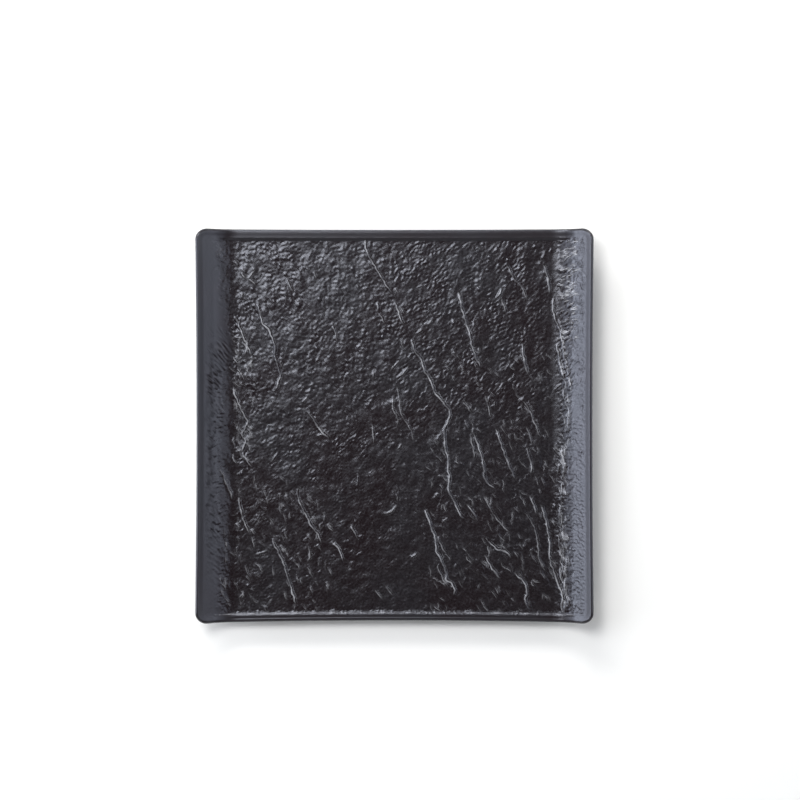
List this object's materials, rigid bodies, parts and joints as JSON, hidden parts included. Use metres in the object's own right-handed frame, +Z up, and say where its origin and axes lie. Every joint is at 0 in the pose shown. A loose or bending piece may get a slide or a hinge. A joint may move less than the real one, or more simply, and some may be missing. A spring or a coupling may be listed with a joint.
{
  "type": "square plate",
  "caption": "Square serving plate with two curved-up sides, low front and back ledges, a beaded rim and a foot ring, in black slate-relief glaze.",
  "frame": {"origin": "centre of the foot's bearing plane, midway between the sides, the front and the back", "axes": "+X towards the right raised side, +Y towards the back ledge, +Z up from the table"},
  "size_m": [0.2098, 0.2088, 0.0198],
  "materials": {
    "bare_clay": "unglazed, wiped smooth",
    "black_glaze": "satin black, slate relief"
  },
  "bodies": {
    "root": {"clay_body": "bare_clay", "outer_glaze": "black_glaze", "recess_glaze": "black_glaze"}
  },
  "joints": []
}
